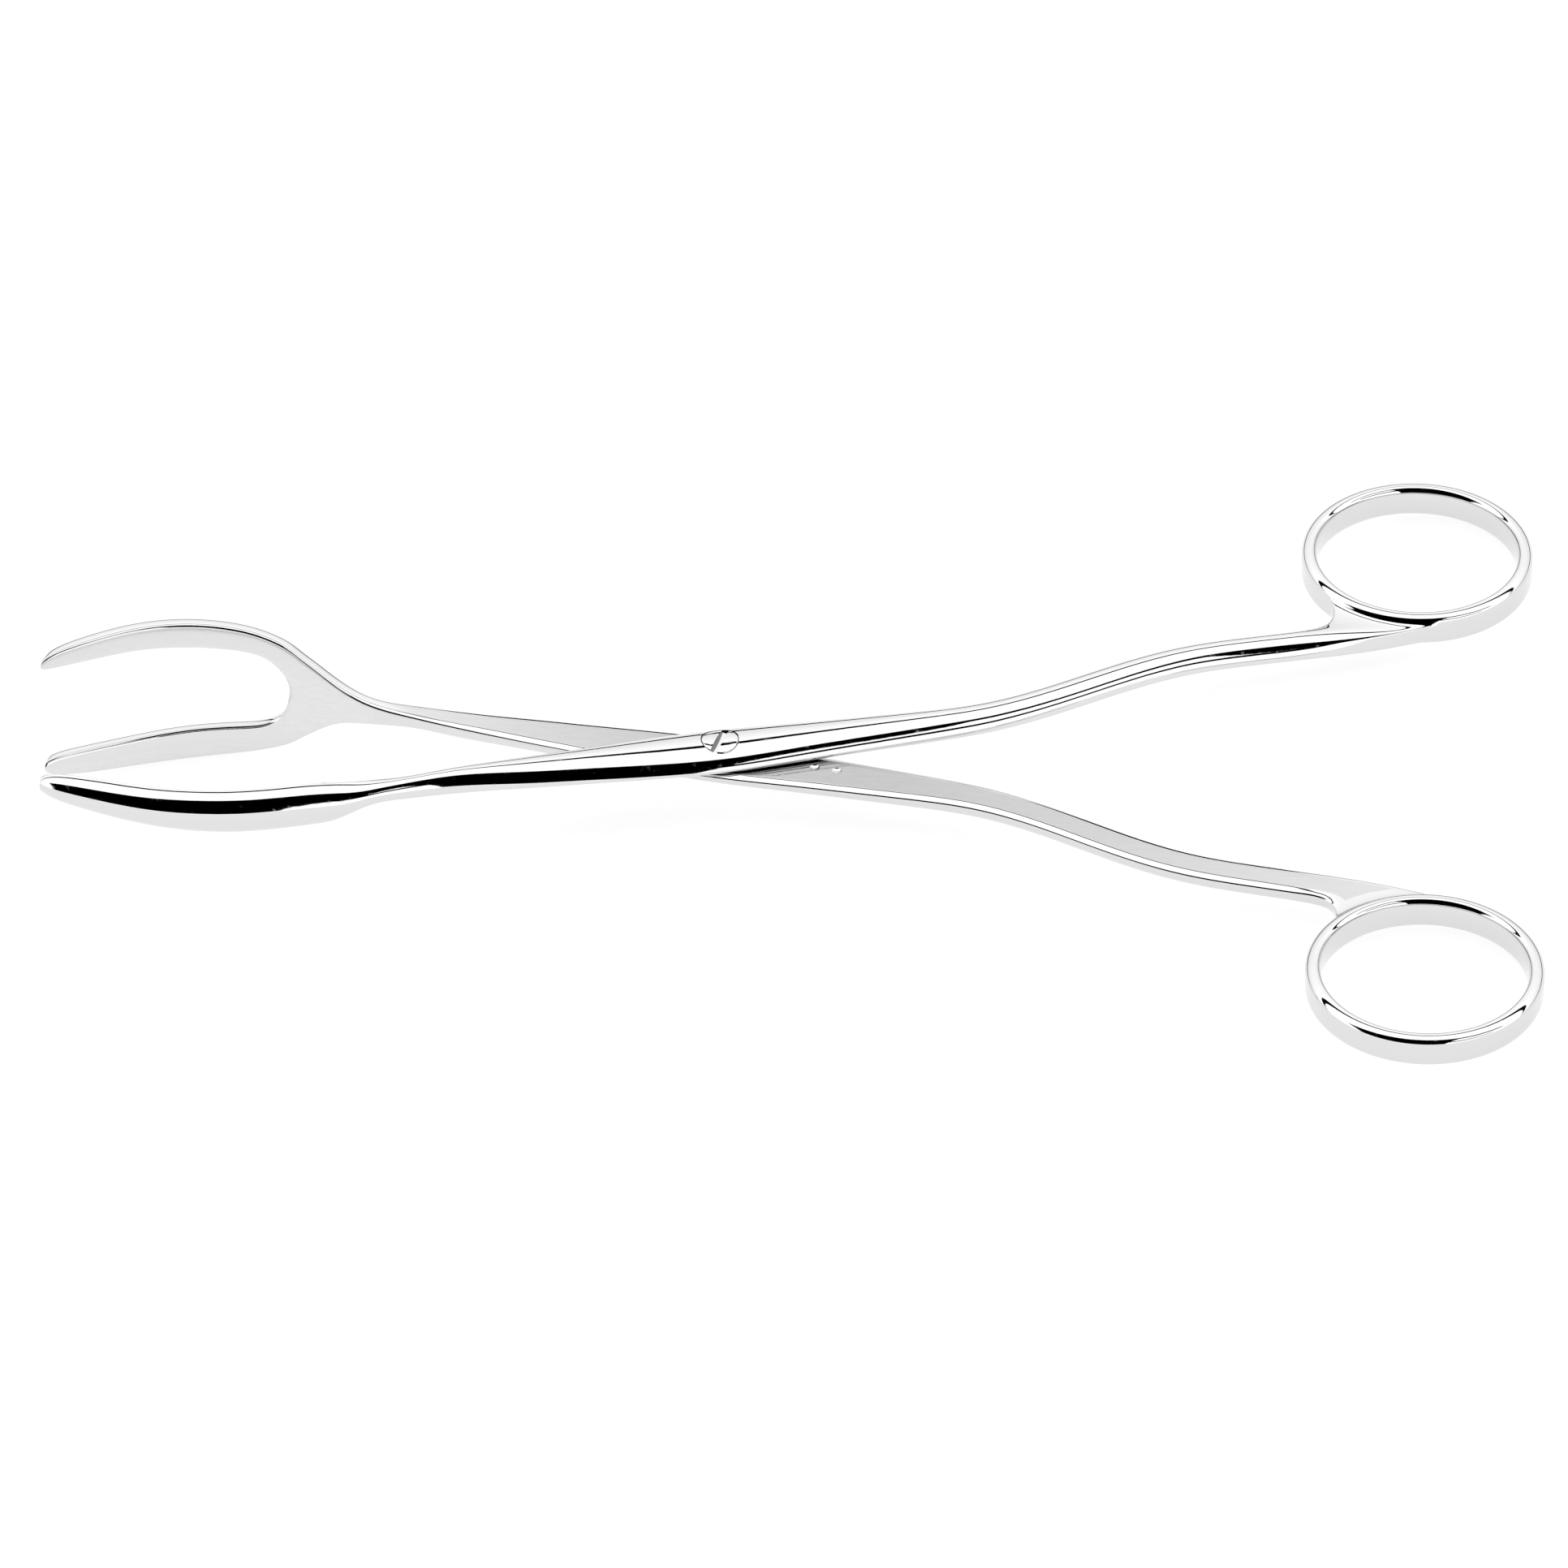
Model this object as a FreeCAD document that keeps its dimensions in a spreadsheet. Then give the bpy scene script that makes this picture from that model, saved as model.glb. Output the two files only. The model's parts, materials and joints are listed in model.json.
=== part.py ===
"""Three-pronged sterilizing forceps: two drop-forged halves crossing in a lap joint, and the joint screw.

Each half is drawn in its own forging frame: the flat mating face is z = 0, its rounded back is towards +Z, the
joint is at the origin, the finger ring is towards +X and the jaw towards -X. One half is then laid as drawn, the
other turned over on to it, and both swing apart about the screw by the same angle. Millimetres and degrees.
"""
import FreeCAD, Part
import math
import os
import Sketcher

Vector = FreeCAD.Vector
Rotation = FreeCAD.Rotation
Placement = FreeCAD.Placement

SIZES = {
    # Joint and arms
    "swing": 12.0,              # angle of each arm from the long axis, as the instrument lies open
    "arm_thickness": 3.0,       # mating face to the crest of the rounded back
    "lap_half": 4.3,            # half width of an arm at the joint
    "lap_play": 0.06,           # between the two mating faces
    "root_reach": 31.0,         # joint to the start of the handle's S-bend
    "root_half": 2.6,
    "straight_length": 30.0,    # end of the handle's S-bend to the ring centre, along the arm
    "shank_offset": 8.1,        # sideways step of the S-bend
    "shank_half": 2.42,
    "waist_reach": 46.0,        # joint to the thinnest place before the jaw
    "waist_half": 1.5,
    "waist_thickness": 2.7,
    "waist_shift": 0.36,        # the waist stands this far behind the arm's centre line
    "jaw_root": 3.0,            # arm and jaw run this far past the waist, inside one another
    # Finger rings
    "ring_reach": 100.0,        # joint to ring centre, along the arm
    "ring_bore": 13.5,          # radius of the finger hole
    "ring_wall": 2.2,
    "ring_height": 4.7,
    "web_width": 9.0,           # shank and web together, at their widest
    "crotch_radius": 2.2,       # between shank and ring
    # Jaws
    "bow_start": 60.0,          # joint to the start of the jaw's outward bow
    "bow_radius": 38.0,
    "tip_reach": 89.9,          # joint to jaw tips, along the arm
    # Prong
    "prong_face": 0.3,          # gripping face, sideways from the arm's centre line
    "prong_turn": 29.0,
    "prong_half": 3.2,
    "prong_thickness": 2.85,
    "throat_length": 5.5,       # waist to where the prong has its full width
    # Fork
    "fork_face": 0.8,
    "fork_turn": 33.0,
    "fork_thickness": 2.3,
    "fork_half": 11.5,          # half width over both tines
    "fork_flare": 41.0,         # slope of the shoulders
    "neck_radius": 5.0,
    "heel_radius": 8.0,
    "shoulder_radius": 16.4,
    "fork_crown": 77.0,         # joint to the widest place
    "crown_radius": 60.0,
    "crown_turn": 12.0,
    "tine_taper": 3.3,          # slope of the tines' outsides, from the widest place to the tips
    "tip_inner_round": 1.2,
    "gap_half": 7.2,            # half width of the gap between the tines
    "gap_end": 79.0,            # from here to the tips its sides are parallel
    "gap_base": 59.0,           # joint to the bottom of the gap
    "gap_root_radius": 6.0,
    "tine_bevel": 0.7,          # round the tines' backs
    # Screw
    "head_radius": 2.5,
    "head_thickness": 1.3,
    "head_top": 2.8,            # from the mating face of the half it sits in
    "head_chamfer": 0.2,
    "seat_play": 0.05,          # under the head
    "stem_radius": 1.75,
    "screw_play": 0.05,         # radial, in the half that turns
    "thread_radius": 1.5,
    "end_drop": 0.1,            # the screw's end lies this far inside the crest of the other half
    "slot_width": 0.7,
    "slot_depth": 0.75,
    "slot_turn": 72.0,
    # Match marks on the fork's mating face
    "mark_radius": 0.68,
    "mark_depth": 0.3,
    "mark_reach": 12.8,
    "mark_pitch": 3.0,
    "mark_side": 0.6,
}

doc = FreeCAD.newDocument("SterilizingForceps")
sheet = doc.addObject("Spreadsheet::Sheet", "Dim")
for row, (alias, size) in enumerate(SIZES.items(), start=1):
    sheet.set(f"A{row}", alias)
    sheet.set(f"B{row}", str(size))
    sheet.setAlias(f"B{row}", alias)
doc.recompute()

RING_OUTER = "(Dim.ring_bore + Dim.ring_wall)"
RING_MEAN = "(Dim.ring_bore + Dim.ring_wall / 2)"
RING_SIDE = f"(Dim.shank_offset + {RING_MEAN})"
BEND_LENGTH = "(Dim.ring_reach - Dim.straight_length - Dim.root_reach)"
SPOON_START = "(Dim.waist_reach + Dim.throat_length)"
# The fork's shoulders, seen from its gripping face: a straight flare, then two arcs out to the widest place.
ARC_X = "(Dim.fork_crown - Dim.crown_radius * sin(Dim.crown_turn))"
ARC_Z = "(Dim.fork_half - Dim.crown_radius * (1 - cos(Dim.crown_turn)))"
FLARE_X = f"({ARC_X} - Dim.shoulder_radius * (sin(Dim.fork_flare) - sin(Dim.crown_turn)))"
FLARE_Z = f"({ARC_Z} - Dim.shoulder_radius * (cos(Dim.crown_turn) - cos(Dim.fork_flare)))"
HEEL_X = f"({FLARE_X} - {FLARE_Z} / tan(Dim.fork_flare))"
HEEL_RUN = "(Dim.heel_radius * tan(Dim.fork_flare / 2))"
# The fork's plate starts inside the arm, and never after its heel.
PLATE_START = f"min(Dim.waist_reach - Dim.jaw_root; {HEEL_X} - {HEEL_RUN})"


def value(expression):
    """Number that an expression on the sheet's cells gives."""
    result = sheet.evalExpression(expression)
    return float(getattr(result, "Value", result))


def new_body(label):
    body = doc.addObject("PartDesign::Body", "Body")
    body.Label = label
    return body


def sketch_on(body, name, role, offset=("0", "0", "0"), turn=None):
    """Sketch on an origin plane of its body, moved in that plane's own axes and turned about its upright."""
    sketch = body.newObject("Sketcher::SketchObject", name)
    plane = [feature for feature in body.Origin.OriginFeatures if feature.Role == role][0]
    sketch.AttachmentSupport = (plane, [""])
    sketch.MapMode = "FlatFace"
    if turn:
        sketch.AttachmentOffset = Placement(Vector(), Rotation(Vector(0, 1, 0), value(turn)))
        sketch.setExpression("AttachmentOffset.Rotation.Angle", turn)
    for axis, expression in zip("xyz", offset):
        if expression != "0":
            sketch.setExpression(f"AttachmentOffset.Base.{axis}", expression)
    return sketch


def bind(sketch, kind, expression, *where):
    index = sketch.addConstraint(Sketcher.Constraint(kind, *where, value(expression)))
    sketch.setExpression(f"Constraints[{index}]", expression)


def circle(sketch, x, y, radius):
    round_line = Part.Circle(Vector(value(x), value(y), 0), Vector(0, 0, 1), value(radius))
    index = sketch.addGeometry(round_line, False)
    bind(sketch, "DistanceX", x, -1, 1, index, 3)
    bind(sketch, "DistanceY", y, -1, 1, index, 3)
    bind(sketch, "Radius", radius, index)


def outline(sketch, steps):
    """Closed outline. Each step is a corner (x, y) and the arc that leads to the next corner, if it isn't a line:
    its radius and +1 for a centre on the left of the way there, -1 for one on the right."""
    corners = [Vector(value(step[0]), value(step[1]), 0) for step in steps]
    kept = []
    for number, step in enumerate(steps):
        start, end = corners[number], corners[(number + 1) % len(steps)]
        if len(step) == 2:
            kept.append((sketch.addGeometry(Part.LineSegment(start, end), False), 1, 2))
            continue
        radius, side = value(step[2]), step[3]
        chord = end - start
        left = Vector(-chord.y, chord.x, 0).normalize() * side
        centre = (start + end) * 0.5 + left * math.sqrt(max(radius ** 2 - (chord.Length / 2) ** 2, 0))
        first, last = (start, end) if side > 0 else (end, start)
        angles = [math.atan2(point.y - centre.y, point.x - centre.x) for point in (first, last)]
        arc = Part.ArcOfCircle(Part.Circle(centre, Vector(0, 0, 1), radius), *angles)
        index = sketch.addGeometry(arc, False)
        kept.append((index, 1, 2) if side > 0 else (index, 2, 1))
    for number, step in enumerate(steps):
        index, start, _ = kept[number]
        before, _, end = kept[number - 1]
        sketch.addConstraint(Sketcher.Constraint("Coincident", before, end, index, start))
        bind(sketch, "DistanceX", step[0], -1, 1, index, start)
        bind(sketch, "DistanceY", step[1], -1, 1, index, start)
        if len(step) > 2:
            bind(sketch, "Radius", step[2], index)


def bulge(half, thickness):
    """Radius of the arc over a flat of that half width that rises by the thickness."""
    return f"(({half})^2 + ({thickness})^2) / (2 * ({thickness}))"


def half_round(body, name, reach, centre, half, thickness):
    """Section across an arm: flat on the mating face, one arc over the back."""
    section = sketch_on(body, name, "YZ_Plane", ("0", "0", reach))
    radius = bulge(half, thickness)
    middle = Vector(value(centre), value(thickness) - value(radius), 0)
    lean = math.atan2(-middle.y, value(half))
    low, high = (Vector(middle.x + side * value(half), 0, 0) for side in (-1, 1))
    flat = section.addGeometry(Part.LineSegment(low, high), False)
    round_line = Part.Circle(middle, Vector(0, 0, 1), value(radius))
    arc = section.addGeometry(Part.ArcOfCircle(round_line, lean, math.pi - lean), False)
    section.addConstraint(Sketcher.Constraint("Coincident", flat, 2, arc, 1))
    section.addConstraint(Sketcher.Constraint("Coincident", arc, 2, flat, 1))
    section.addConstraint(Sketcher.Constraint("PointOnObject", flat, 1, -1))
    section.addConstraint(Sketcher.Constraint("PointOnObject", flat, 2, -1))
    bind(section, "DistanceX", f"({centre}) - ({half})", -1, 1, flat, 1)
    bind(section, "DistanceX", f"({centre}) + ({half})", -1, 1, flat, 2)
    bind(section, "Radius", radius, arc)
    return section


def flat_in(body, name, place, turn, lift, half, thickness):
    """Section of the prong: flat towards the fork, one arc over the outside."""
    x, y = place
    section = sketch_on(body, name, "YZ_Plane", (y, lift, x), f"-({turn})")
    radius = bulge(half, thickness)
    middle = Vector(value(radius) - value(thickness), 0, 0)
    lean = math.atan2(value(half), -middle.x)
    high, low = Vector(0, value(half), 0), Vector(0, -value(half), 0)
    flat = section.addGeometry(Part.LineSegment(high, low), False)
    round_line = Part.Circle(middle, Vector(0, 0, 1), value(radius))
    arc = section.addGeometry(Part.ArcOfCircle(round_line, lean, 2 * math.pi - lean), False)
    section.addConstraint(Sketcher.Constraint("Coincident", flat, 1, arc, 1))
    section.addConstraint(Sketcher.Constraint("Coincident", flat, 2, arc, 2))
    section.addConstraint(Sketcher.Constraint("PointOnObject", flat, 1, -2))
    section.addConstraint(Sketcher.Constraint("PointOnObject", flat, 2, -2))
    bind(section, "DistanceY", half, -1, 1, flat, 1)
    bind(section, "DistanceY", f"-({half})", -1, 1, flat, 2)
    bind(section, "Radius", radius, arc)
    return section


def loft(body, name, sections):
    feature = body.newObject("PartDesign::AdditiveLoft", name)
    feature.Profile = sections[0]
    feature.Sections = sections[1:]


def cut(body, name, sketch, depth=None, upwards=False):
    """Pocket through everything both ways, through everything above the sketch, or to a depth above it."""
    feature = body.newObject("PartDesign::Pocket", name)
    feature.Profile = sketch
    feature.Type = "Length" if depth else "ThroughAll"
    feature.Midplane = not upwards
    feature.Reversed = upwards
    if depth:
        feature.setExpression("Length", depth)


def arm(body, end_centre, end_half):
    """What both forgings share: lap, handle with its S-bend, web and finger ring. The end is hidden in the jaw."""
    root_half = "Dim.waist_half * 1.2"
    sections = [
        half_round(body, "ArmEnd", "-(Dim.waist_reach + Dim.jaw_root)", end_centre, end_half,
                   "Dim.waist_thickness * 0.96"),
        half_round(body, "JawRoot", "-Dim.waist_reach * 0.8", "-Dim.waist_shift", root_half,
                   "Dim.waist_thickness"),
        half_round(body, "JawSide", "-Dim.waist_reach / 2", "0", f"({root_half} + Dim.lap_half) / 2",
                   "Dim.arm_thickness"),
        half_round(body, "Lap", "0", "0", "Dim.lap_half", "Dim.arm_thickness"),
        half_round(body, "HandleSide", "Dim.root_reach / 2", "0", "(Dim.root_half + Dim.lap_half) / 2",
                   "Dim.arm_thickness"),
        half_round(body, "Root", "Dim.root_reach", "0", "Dim.root_half", "Dim.arm_thickness"),
    ]
    bends = 6
    for number in range(1, bends + 1):
        part = number / bends
        lean = f"atan(Dim.shank_offset * pi / (2 * {BEND_LENGTH}) * sin(180 * {part}))"
        sections.append(half_round(
            body, f"Bend{number}", f"Dim.root_reach + {BEND_LENGTH} * {part}",
            f"Dim.shank_offset * (1 - cos(180 * {part})) / 2", f"Dim.shank_half / cos({lean})",
            "Dim.arm_thickness"))
    # Towards the ring the back spreads into a web, whose near edge runs into the ring's outside. Each section: how
    # many ring radii before the ring's centre, how far its near edge has gone over to the ring, how much of the
    # web's extra width it has, and its share of the arm's thickness.
    shank_near, shank_width = "(Dim.shank_offset - Dim.shank_half)", "(2 * Dim.shank_half)"
    ring_near = f"({RING_SIDE} - {RING_OUTER})"
    spread = (("WebStart", 1.36, 0, 0, 1), ("WebMiddle", 1.02, 0.1, 0.37, 1), ("WebWide", 0.7, 0.25, 1, 0.98),
              ("WebEnd", 0.3, 0.65, 0.76, 0.93), ("InRing", -0.1, 1.1, 0, 0.75))
    for name, back, drift, wide, thick in spread:
        near = f"({shank_near} + ({ring_near} - {shank_near}) * {drift})"
        half = f"({shank_width} + (Dim.web_width - {shank_width}) * {wide}) / 2"
        sections.append(half_round(body, name, f"Dim.ring_reach - {RING_OUTER} * {back}", f"{near} + {half}", half,
                                   f"Dim.arm_thickness * {thick}"))
    loft(body, "Blank", sections)
    # Trimmed to the crotch, and to the middle of the ring's wall.
    trim = sketch_on(body, "TrimLine", "XY_Plane")
    edge = "(Dim.shank_offset + Dim.shank_half * 1.04)"
    rise = f"({RING_SIDE} - {edge} - Dim.crotch_radius)"
    run = f"sqrt(({RING_OUTER} + Dim.crotch_radius)^2 - {rise}^2)"
    share = f"{RING_OUTER} / ({RING_OUTER} + Dim.crotch_radius)"
    outline(trim, [
        (f"Dim.ring_reach - {RING_OUTER} * 1.5", edge),
        (f"Dim.ring_reach - {run}", edge, "Dim.crotch_radius", 1),
        (f"Dim.ring_reach - {run} * {share}", f"{RING_SIDE} - {rise} * {share}", RING_OUTER, -1),
        (f"Dim.ring_reach - {RING_OUTER}", RING_SIDE),
        (f"Dim.ring_reach - {RING_OUTER} * 1.5", RING_SIDE),
    ])
    circle(trim, "Dim.ring_reach", RING_SIDE, RING_MEAN)
    cut(body, "Trim", trim)
    # The ring is centred on the thickness of the arm, and its section is round at both ends.
    section = sketch_on(body, "RingSection", "XZ_Plane", ("Dim.ring_reach", "Dim.arm_thickness / 2",
                                                          f"-{RING_SIDE}"))
    high = "(Dim.ring_height - Dim.ring_wall) / 2"
    outline(section, [
        ("Dim.ring_bore", high),
        ("Dim.ring_bore", f"-{high}", "Dim.ring_wall / 2", 1),
        (RING_MEAN, "-Dim.ring_height / 2", "Dim.ring_wall / 2", 1),
        (RING_OUTER, f"-{high}"),
        (RING_OUTER, high, "Dim.ring_wall / 2", 1),
        (RING_MEAN, "Dim.ring_height / 2", "Dim.ring_wall / 2", 1),
    ])
    ring = body.newObject("PartDesign::Revolution", "Ring")
    ring.Profile = section
    ring.ReferenceAxis = (section, ["V_Axis"])
    ring.Angle = 360


def bow(turn, along, face, most):
    """Place of a section on a jaw's face line: after turn degrees of the bow's arc and a straight run."""
    x = f"-(Dim.bow_start + Dim.bow_radius * sin({turn}) + ({along}) * cos({most}))"
    y = f"{face} + Dim.bow_radius * (1 - cos({turn})) + ({along}) * sin({most})"
    return x, y


def make_prong_arm():
    """Upper half: its jaw is a single bowed prong, flat inside and round outside, like a narrow spoon."""
    body = new_body("prong_arm")
    arm(body, "-Dim.waist_shift", "Dim.waist_half * 0.9")
    height, width, thick = "Dim.waist_thickness", "Dim.prong_half", "Dim.prong_thickness"
    # The neck grows out of the arm and comes down to the middle of the instrument.
    sections = [
        flat_in(body, "Neck", ("-(Dim.waist_reach - Dim.jaw_root)", "Dim.waist_half / 2"), "0",
                f"{height} / 2", f"{height} * 0.36", "Dim.waist_half * 1.6"),
        flat_in(body, "Throat", ("-Dim.waist_reach", "(Dim.waist_half / 2 + Dim.prong_face) / 2"), "0",
                f"{height} * 0.48", f"{height} * 0.54", f"{thick} * 0.9"),
        flat_in(body, "Step", (f"-(Dim.waist_reach + {SPOON_START}) / 2", "Dim.prong_face"), "0",
                f"{height} * 0.25", f"{width} * 0.66", f"{thick} * 0.95"),
        flat_in(body, "Shoulder", (f"-{SPOON_START}", "Dim.prong_face"), "0", f"{height} * 0.03",
                f"{width} * 0.92", thick),
        flat_in(body, "Spoon", (f"-({SPOON_START} + Dim.bow_start) / 2", "Dim.prong_face"), "0", "0",
                f"{width} * 0.985", thick),
    ]
    most = "Dim.prong_turn"
    for number, share in enumerate((1.0, 1.0, 0.985, 0.92, 0.8)):
        turn = f"{most} * {number / 4}"
        sections.append(flat_in(body, f"Bow{number}", bow(turn, "0", "Dim.prong_face", most), turn, "0",
                                f"{width} * {share}", f"{thick} * {1 - 0.01 * number}"))
    straight = f"(Dim.tip_reach - Dim.bow_start - Dim.bow_radius * sin({most})) / cos({most})"
    tip = ((0.35, 0.71, 0.95), (0.62, 0.6, 0.88), (0.83, 0.45, 0.7), (0.94, 0.28, 0.46), (1.0, 0.12, 0.2))
    for number, (along, share, depth) in enumerate(tip):
        place = bow(most, f"{straight} * {along}", "Dim.prong_face", most)
        sections.append(flat_in(body, f"Tip{number}", place, most, "0", f"{width} * {share}", f"{thick} * {depth}"))
    loft(body, "Prong", sections)
    # Clearance hole and seat for the screw's head.
    hole = sketch_on(body, "StemHoleLine", "XY_Plane")
    circle(hole, "0", "0", "Dim.stem_radius + Dim.screw_play")
    cut(body, "StemHole", hole)
    seat = sketch_on(body, "SeatLine", "XY_Plane", ("0", "0", "Dim.head_top - Dim.head_thickness - Dim.seat_play"))
    circle(seat, "0", "0", "Dim.head_radius + Dim.screw_play")
    cut(body, "Seat", seat, upwards=True)
    return body


def fork_blank(body):
    """Strip that bows outwards, drawn from above and as wide as the fork."""
    most = "Dim.fork_turn"
    face, back = "Dim.fork_face", "(Dim.fork_face - Dim.fork_thickness)"
    start = f"-{PLATE_START}"
    straight = f"((Dim.tip_reach - Dim.bow_start - Dim.bow_radius * sin({most})) / cos({most}) + Dim.fork_thickness)"
    bow_end, tip = bow(most, "0", face, most), bow(most, straight, face, most)
    behind = (f"- Dim.fork_thickness * sin({most})", f"- Dim.fork_thickness * cos({most})")
    strip = sketch_on(body, "StripLine", "XY_Plane")
    outline(strip, [
        (start, face),
        ("-Dim.bow_start", face, "Dim.bow_radius", -1),
        bow_end,
        tip,
        (tip[0] + behind[0], tip[1] + behind[1]),
        (bow_end[0] + behind[0], bow_end[1] + behind[1], "Dim.bow_radius + Dim.fork_thickness", 1),
        ("-Dim.bow_start", back),
        (start, back),
    ])
    pad = body.newObject("PartDesign::Pad", "Strip")
    pad.Profile = strip
    pad.Midplane = True
    pad.setExpression("Length", "Dim.fork_half * 2.2")


def fork_shape(body):
    """Fork seen from its gripping face: what lies round that outline is cut off the strip."""
    slope, height = "Dim.fork_flare", "Dim.waist_thickness"
    neck = f"({FLARE_X} - ({FLARE_Z} - {height}) / tan({slope}))"
    neck_run = f"(Dim.neck_radius * tan({slope} / 2))"
    # Gap: parallel sides by the tips, closing slightly to a round bottom that they touch.
    rise, run = "Dim.gap_half", "(Dim.gap_end - Dim.gap_base - Dim.gap_root_radius)"
    lean = f"(acos(Dim.gap_root_radius / sqrt({rise}^2 + {run}^2)) - atan({run} / {rise}))"
    root_x = f"(Dim.gap_base + Dim.gap_root_radius * (1 - sin({lean})))"
    root_z = f"(Dim.gap_root_radius * cos({lean}))"
    # The tines' outsides run straight to the tips, whose outer corners are as round as what is left allows.
    tip_z = "(Dim.gap_half + Dim.tip_inner_round)"
    left = f"(Dim.fork_half - (Dim.tip_reach - Dim.fork_crown) * tan(Dim.tine_taper) - {tip_z})"
    tip_outer = f"({left} * cos(Dim.tine_taper) / (1 - sin(Dim.tine_taper)))"
    end_x = f"(Dim.tip_reach - {tip_outer} * (1 - sin(Dim.tine_taper)))"
    end_z = f"({tip_z} + {tip_outer} * cos(Dim.tine_taper))"
    # What is cut away reaches past the plate on every side.
    start, end = f"-({PLATE_START} - Dim.fork_thickness * 0.4)", "-(Dim.tip_reach + Dim.fork_thickness * 4)"
    room = "(Dim.fork_half * 1.5)"
    surround = sketch_on(body, "ForkLine", "XZ_Plane")
    outline(surround, [
        (start, room),
        (end, room),
        (end, f"-{room}"),
        (start, f"-{room}"),
        (start, "0"),
        (f"-({HEEL_X} - {HEEL_RUN})", "0", "Dim.heel_radius", 1),
        (f"-({HEEL_X} + {HEEL_RUN} * cos({slope}))", f"-{HEEL_RUN} * sin({slope})"),
        (f"-{FLARE_X}", f"-{FLARE_Z}", "Dim.shoulder_radius", -1),
        (f"-{ARC_X}", f"-{ARC_Z}", "Dim.crown_radius", -1),
        ("-Dim.fork_crown", "-Dim.fork_half"),
        (f"-{end_x}", f"-{end_z}", tip_outer, -1),
        ("-Dim.tip_reach", f"-{tip_z}", "Dim.tip_inner_round", -1),
        ("-(Dim.tip_reach - Dim.tip_inner_round)", "-Dim.gap_half"),
        ("-Dim.gap_end", "-Dim.gap_half"),
        (f"-{root_x}", f"-{root_z}", "Dim.gap_root_radius", 1),
        ("-Dim.gap_base", "0", "Dim.gap_root_radius", 1),
        (f"-{root_x}", root_z),
        ("-Dim.gap_end", "Dim.gap_half"),
        ("-(Dim.tip_reach - Dim.tip_inner_round)", "Dim.gap_half", "Dim.tip_inner_round", -1),
        ("-Dim.tip_reach", tip_z, tip_outer, -1),
        (f"-{end_x}", end_z),
        ("-Dim.fork_crown", "Dim.fork_half", "Dim.crown_radius", -1),
        (f"-{ARC_X}", ARC_Z, "Dim.shoulder_radius", -1),
        (f"-{FLARE_X}", FLARE_Z),
        (f"-({neck} + {neck_run} * cos({slope}))", f"{height} + {neck_run} * sin({slope})",
         "Dim.neck_radius", 1),
        (f"-({neck} - {neck_run})", height),
        (start, f"{height} * 0.75"),
    ])
    cut(body, "Shape", surround)


def outer_back_edges(shape):
    """Names of the edges round the fork's back: those that only one face with its outside away from the prong has."""
    back = []
    for face in shape.Faces:
        low, high, near, far = face.ParameterRange
        if face.normalAt((low + high) / 2, (near + far) / 2).y < -0.5:
            back.append(face)
    names = []
    for number, edge in enumerate(shape.Edges, start=1):
        owners = sum(1 for face in back if any(edge.isSame(other) for other in face.Edges))
        if owners == 1 and edge.BoundBox.XMin < -value("Dim.waist_reach"):
            names.append(f"Edge{number}")
    return names


def make_fork_arm():
    """Lower half: its jaw is a bowed fork of two flat tines."""
    body = new_body("fork_arm")
    fork_blank(body)
    fork_shape(body)
    doc.recompute()
    fork = body.Tip
    edges = outer_back_edges(fork.Shape)
    bevel = body.newObject("PartDesign::Chamfer", "BackBevel")
    bevel.Base = (fork, edges)
    bevel.setExpression("Size", "Dim.tine_bevel")
    arm(body, "Dim.fork_face - Dim.fork_thickness / 2", "Dim.fork_thickness * 0.4")
    # Threaded hole for the joint screw, and two punched dots that pair this half with the other.
    hole = sketch_on(body, "ThreadedHoleLine", "XY_Plane")
    circle(hole, "0", "0", "Dim.thread_radius")
    cut(body, "ThreadedHole", hole)
    marks = sketch_on(body, "MarkLine", "XY_Plane")
    for number in range(2):
        circle(marks, f"Dim.mark_reach + Dim.mark_pitch * {number}", "-Dim.mark_side", "Dim.mark_radius")
    cut(body, "Marks", marks, depth="Dim.mark_depth", upwards=True)
    return body


def make_pivot_screw():
    """Shouldered screw: slotted head in the upper half, thread and ground end in the lower one."""
    body = new_body("pivot_screw")
    top = "(Dim.lap_play / 2 + Dim.head_top)"
    under = f"({top} - Dim.head_thickness)"
    profile = sketch_on(body, "ScrewLine", "XZ_Plane")
    outline(profile, [
        ("0", "-(Dim.lap_play / 2 + Dim.arm_thickness - Dim.end_drop)"),
        ("Dim.thread_radius", "-(Dim.lap_play / 2 + Dim.arm_thickness - Dim.end_drop)"),
        ("Dim.thread_radius", "-Dim.lap_play / 2"),
        ("Dim.stem_radius", "-Dim.lap_play / 2"),
        ("Dim.stem_radius", under),
        ("Dim.head_radius", under),
        ("Dim.head_radius", f"{top} - Dim.head_chamfer"),
        ("Dim.head_radius - Dim.head_chamfer", top),
        ("0", top),
    ])
    turned = body.newObject("PartDesign::Revolution", "Turned")
    turned.Profile = profile
    turned.ReferenceAxis = (profile, ["V_Axis"])
    turned.Angle = 360
    slot = sketch_on(body, "SlotLine", "XY_Plane", ("0", "0", f"{top} - Dim.slot_depth"))
    side, end = "Dim.slot_width / 2", "(Dim.head_radius * 1.4)"
    outline(slot, [(f"-{end}", f"-{side}"), (end, f"-{side}"), (end, side), (f"-{end}", side)])
    cut(body, "Slot", slot, upwards=True)
    return body


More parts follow.
